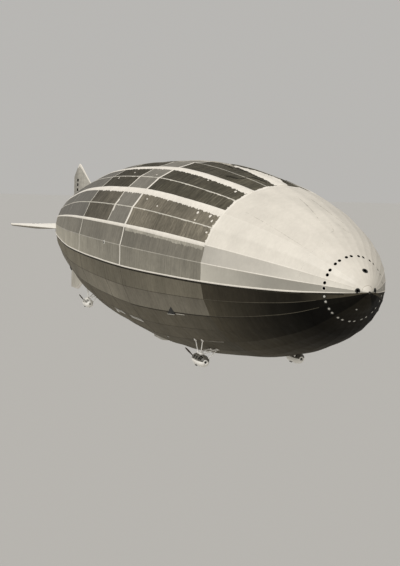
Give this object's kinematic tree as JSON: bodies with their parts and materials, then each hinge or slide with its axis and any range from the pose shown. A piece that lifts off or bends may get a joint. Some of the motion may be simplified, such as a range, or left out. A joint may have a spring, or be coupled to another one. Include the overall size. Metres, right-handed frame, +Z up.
{
  "type": "rigid airship, 1:10 scale model",
  "caption": "Rigid airship with a faceted hull, four tail fins with hinged control surfaces, strut-hung engine cars with pusher propellers and a control car.",
  "frame": {"origin": "on the hull's axis, ten metres of the model aft of the nose, beside the widest place, where the lift of the gas holds the ship in the air", "axes": "+X forward to the nose, +Y to port, +Z up"},
  "size_m": [22.3802, 4.46, 4.28],
  "materials": {
    "bow_cover": "taut cream doped cloth, faint sheen",
    "hull_cover": "taut grey-brown doped cloth with pale bands along the ridges",
    "tail_cover": "taut doped cloth over ribs",
    "mooring_metal": "dark weathered metal",
    "car_metal": "pale satin paint",
    "control_car_metal": "grey-brown satin paint",
    "engine_iron": "dark cast metal",
    "strut_metal": "pale painted tube",
    "propeller_wood": "dark varnished wood",
    "window_glass": "bright panes in pale frames, seen reflecting the sky"
  },
  "bodies": {
    "hull": {"bow_mooring_cone": "mooring_metal", "nose_cap": "bow_cover", "nose_cover": "bow_cover", "hull_bay_1": "hull_cover", "hull_bay_2": "hull_cover", "hull_bay_3": "hull_cover", "hull_bay_4": "hull_cover", "hull_bay_5": "hull_cover", "hull_bay_6": "hull_cover", "hull_bay_7": "hull_cover", "tail_cone": "hull_cover", "promenade_windows_starboard_fore": "window_glass", "promenade_windows_starboard_aft": "window_glass", "promenade_windows_port_fore": "window_glass", "promenade_windows_port_aft": "window_glass", "fin_top": "tail_cover", "fin_starboard": "tail_cover", "fin_bottom": "tail_cover", "fin_port": "tail_cover", "car_shell_starboard_fore": "car_metal", "car_shell_port_fore": "car_metal", "car_shell_starboard_aft": "car_metal", "car_shell_port_aft": "car_metal", "car_shell_centre": "car_metal", "engine_starboard_fore": "engine_iron", "engine_port_fore": "engine_iron", "engine_starboard_aft": "engine_iron", "engine_port_aft": "engine_iron", "engine_centre": "engine_iron", "struts_starboard_fore": "strut_metal", "struts_port_fore": "strut_metal", "struts_starboard_aft": "strut_metal", "struts_port_aft": "strut_metal", "struts_centre": "strut_metal", "control_car_tub": "control_car_metal", "control_car_walls": "control_car_metal"},
    "rudder_top": {"rudder_top": "tail_cover"},
    "rudder_bottom": {"rudder_bottom": "tail_cover"},
    "elevator_starboard": {"elevator_starboard": "tail_cover"},
    "elevator_port": {"elevator_port": "tail_cover"},
    "propeller_starboard_fore": {"propeller_starboard_fore": "propeller_wood"},
    "propeller_port_fore": {"propeller_port_fore": "propeller_wood"},
    "propeller_starboard_aft": {"propeller_starboard_aft": "propeller_wood"},
    "propeller_port_aft": {"propeller_port_aft": "propeller_wood"},
    "propeller_centre": {"propeller_centre": "propeller_wood"}
  },
  "joints": [
    {"name": "rudder_top_hinge", "type": "hinge", "parent": "hull", "child": "rudder_top", "pos_m": [-9.335, 0, 1.3], "axis": [0, 0, 1], "range_deg": [-25, 25]},
    {"name": "rudder_bottom_hinge", "type": "hinge", "parent": "hull", "child": "rudder_bottom", "pos_m": [-9.335, 0, -1.3], "axis": [0, 0, 1], "range_deg": [-25, 25]},
    {"name": "elevator_starboard_hinge", "type": "hinge", "parent": "hull", "child": "elevator_starboard", "pos_m": [-9.335, -1.3, 0], "axis": [0, 1, 0], "range_deg": [-22, 22]},
    {"name": "elevator_port_hinge", "type": "hinge", "parent": "hull", "child": "elevator_port", "pos_m": [-9.335, 1.3, 0], "axis": [0, 1, 0], "range_deg": [-22, 22]},
    {"name": "propeller_starboard_fore_spin", "type": "hinge", "parent": "hull", "child": "propeller_starboard_fore", "pos_m": [5.226, -0.975, -1.775], "axis": [1, 0, 0], "continuous": true},
    {"name": "propeller_port_fore_spin", "type": "hinge", "parent": "hull", "child": "propeller_port_fore", "pos_m": [5.226, 0.975, -1.775], "axis": [1, 0, 0], "continuous": true},
    {"name": "propeller_starboard_aft_spin", "type": "hinge", "parent": "hull", "child": "propeller_starboard_aft", "pos_m": [-3.834, -1, -1.85], "axis": [1, 0, 0], "continuous": true},
    {"name": "propeller_port_aft_spin", "type": "hinge", "parent": "hull", "child": "propeller_port_aft", "pos_m": [-3.834, 1, -1.85], "axis": [1, 0, 0], "continuous": true},
    {"name": "propeller_centre_spin", "type": "hinge", "parent": "hull", "child": "propeller_centre", "pos_m": [-6.164, 0, -1.76], "axis": [1, 0, 0], "continuous": true}
  ],
  "couplings": [
    {"joint": "rudder_bottom_hinge", "follows": "rudder_top_hinge", "ratio": 1},
    {"joint": "elevator_port_hinge", "follows": "elevator_starboard_hinge", "ratio": 1}
  ]
}
